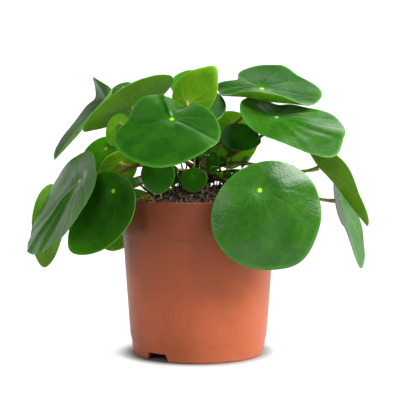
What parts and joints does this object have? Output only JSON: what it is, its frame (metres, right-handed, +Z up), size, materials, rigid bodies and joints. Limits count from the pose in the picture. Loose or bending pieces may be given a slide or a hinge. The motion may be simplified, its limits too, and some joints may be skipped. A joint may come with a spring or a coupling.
{
  "type": "potted pilea plant",
  "caption": "Potted pilea houseplant with round glossy green shield-shaped leaves on long thin stalks, standing in a tapered terracotta-coloured plastic nursery pot filled with soil.",
  "frame": {"origin": "centre of the pot's foot on the surface it stands on, which is also the bottom centre of the whole plant's box within its tolerance", "axes": "+Z up along the pot's axis, -Y towards the front of the plant, +X to the right seen from the front"},
  "size_m": [0.2612, 0.1741, 0.2257],
  "materials": {
    "pot_plastic": "satin",
    "potting_soil": "matte",
    "stem_bark": "matte",
    "leaf_blade": "satin",
    "young_leaf": "satin",
    "leaf_stalk": "satin",
    "sprout_leaf": "matte"
  },
  "bodies": {
    "root": {"pot": "pot_plastic", "soil": "potting_soil", "main_stem": "stem_bark", "sprout": "sprout_leaf", "leaf_front": "leaf_blade", "stalk_front": "leaf_stalk", "leaf_front_right": "leaf_blade", "stalk_front_right": "leaf_stalk", "leaf_left_outer": "leaf_blade", "stalk_left_outer": "leaf_stalk", "leaf_left_cupped": "leaf_blade", "stalk_left_cupped": "leaf_stalk", "leaf_top_left": "leaf_blade", "stalk_top_left": "leaf_stalk", "leaf_left_folded": "leaf_blade", "stalk_left_folded": "leaf_stalk", "leaf_top_right": "leaf_blade", "stalk_top_right": "leaf_stalk", "leaf_right_upper": "leaf_blade", "stalk_right_upper": "leaf_stalk", "leaf_right_drooping": "leaf_blade", "stalk_right_drooping": "leaf_stalk", "leaf_right_low": "leaf_blade", "stalk_right_low": "leaf_stalk", "leaf_crown_young": "young_leaf", "stalk_crown_young": "leaf_stalk", "leaf_crown_back": "young_leaf", "stalk_crown_back": "leaf_stalk", "leaf_crown_right": "leaf_blade", "stalk_crown_right": "leaf_stalk", "leaf_small_right": "leaf_blade", "stalk_small_right": "leaf_stalk", "leaf_behind_right": "young_leaf", "stalk_behind_right": "leaf_stalk", "leaf_low_front": "leaf_blade", "stalk_low_front": "leaf_stalk", "leaf_low_middle": "leaf_blade", "stalk_low_middle": "leaf_stalk", "leaf_low_right": "leaf_blade", "stalk_low_right": "leaf_stalk", "leaf_left_back": "young_leaf", "stalk_left_back": "leaf_stalk", "leaf_left_inner": "young_leaf", "stalk_left_inner": "leaf_stalk", "leaf_left_low": "leaf_blade", "stalk_left_low": "leaf_stalk", "leaf_rim_left": "leaf_blade", "stalk_rim_left": "leaf_stalk", "leaf_top_small": "leaf_blade", "stalk_top_small": "leaf_stalk", "leaf_shaded": "young_leaf", "stalk_shaded": "leaf_stalk", "leaf_back_left": "leaf_blade", "stalk_back_left": "leaf_stalk", "leaf_back_right": "leaf_blade", "stalk_back_right": "leaf_stalk", "leaf_back_low": "leaf_blade", "stalk_back_low": "leaf_stalk", "leaf_back_upper": "leaf_blade", "stalk_back_upper": "leaf_stalk"}
  },
  "joints": []
}
